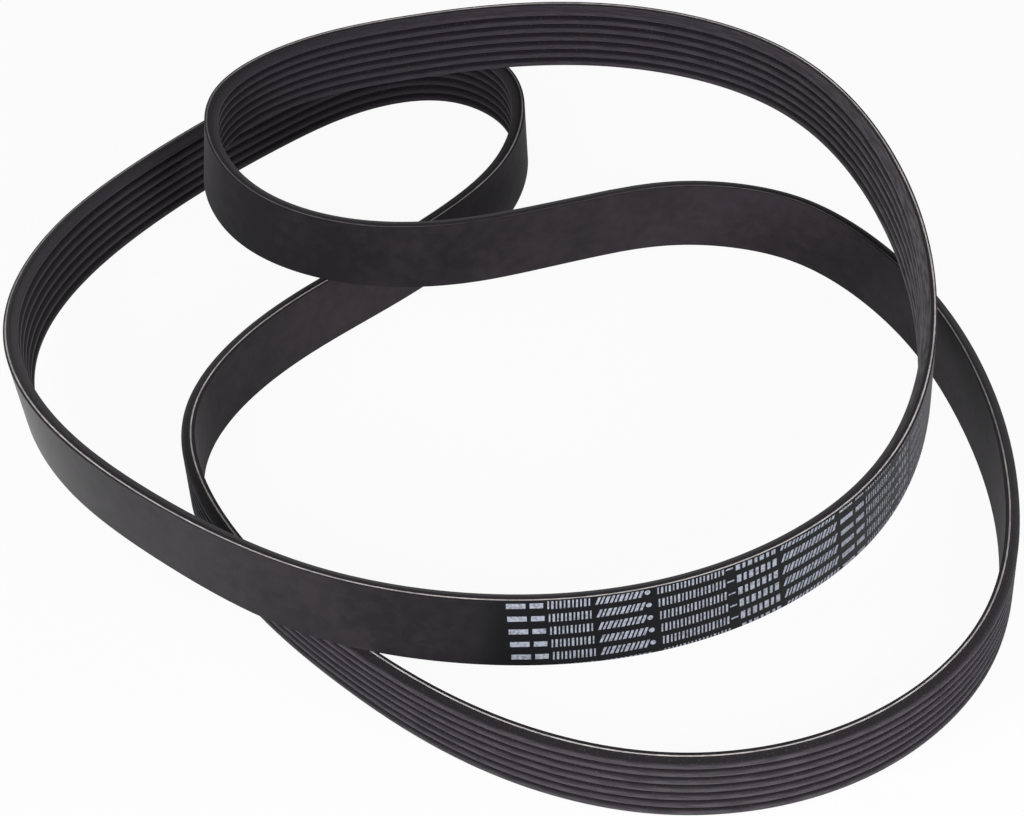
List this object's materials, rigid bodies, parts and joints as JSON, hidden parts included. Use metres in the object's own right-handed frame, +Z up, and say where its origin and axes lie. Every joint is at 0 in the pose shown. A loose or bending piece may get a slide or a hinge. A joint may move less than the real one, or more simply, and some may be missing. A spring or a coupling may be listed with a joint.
{
  "type": "alternator belt",
  "caption": "Ribbed black rubber drive belt for an engine's alternator, a closed loop standing on its edge and crossed over itself.",
  "frame": {"origin": "centre of the object's box, on the plane that the belt's lower edge stands on", "axes": "+Z up, across the belt's width; -Y towards the two strands at the front; +X to the right, towards the bend of the lowest loop"},
  "size_m": [0.3052, 0.3098, 0.0502],
  "materials": {
    "black_rubber": "matt, moulded and ground"
  },
  "bodies": {
    "root": {"ribbed_belt": "black_rubber"}
  },
  "joints": []
}
